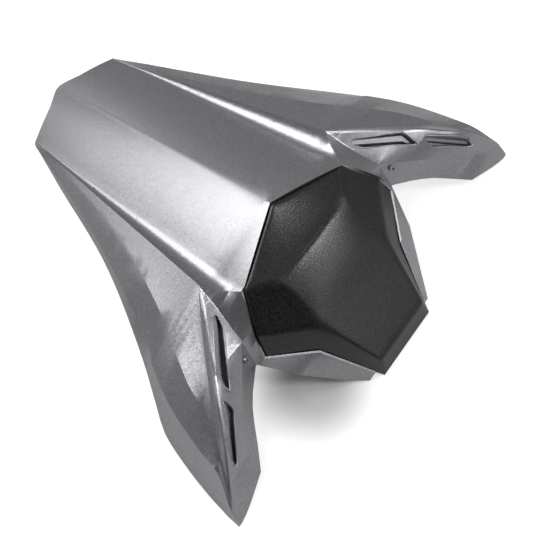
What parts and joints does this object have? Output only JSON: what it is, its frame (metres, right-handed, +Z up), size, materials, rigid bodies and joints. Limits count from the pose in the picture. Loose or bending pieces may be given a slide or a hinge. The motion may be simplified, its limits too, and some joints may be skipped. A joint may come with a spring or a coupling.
{
  "type": "seat cowl",
  "caption": "Faceted metallic seat cowl for a motorbike: crested tail, slotted forward wings, textured back pad, and a base plate with striker and rubber feet underneath.",
  "frame": {"origin": "on the plane that the wing tips and rubber feet rest on, under the middle of the object's box", "axes": "+Y to the tail's point, +X to the rider's left as they sit, +Z up"},
  "size_m": [0.2998, 0.2781, 0.0746],
  "materials": {
    "body_paint": "plastic shell in silver-grey metallic paint, clear coated, fine flake",
    "textured_plastic": "black moulded plastic with a fine grain",
    "black_plastic": "plain black moulded plastic",
    "rubber": "soft black rubber",
    "steel": "zinc plated steel"
  },
  "bodies": {
    "root": {"cowl_shell": "body_paint", "back_pad": "textured_plastic", "base_plate": "black_plastic", "rubber_buffer_1": "rubber", "rubber_buffer_2": "rubber", "rubber_buffer_3": "rubber", "rubber_buffer_4": "rubber", "base_screw_1": "steel", "base_screw_2": "steel", "base_screw_3": "steel", "base_screw_4": "steel", "latch_striker": "steel", "pad_screw_1": "steel", "pad_screw_2": "steel", "pocket_screw_1": "steel", "pocket_screw_2": "steel", "striker_screw_1": "steel", "striker_screw_2": "steel"}
  },
  "joints": []
}
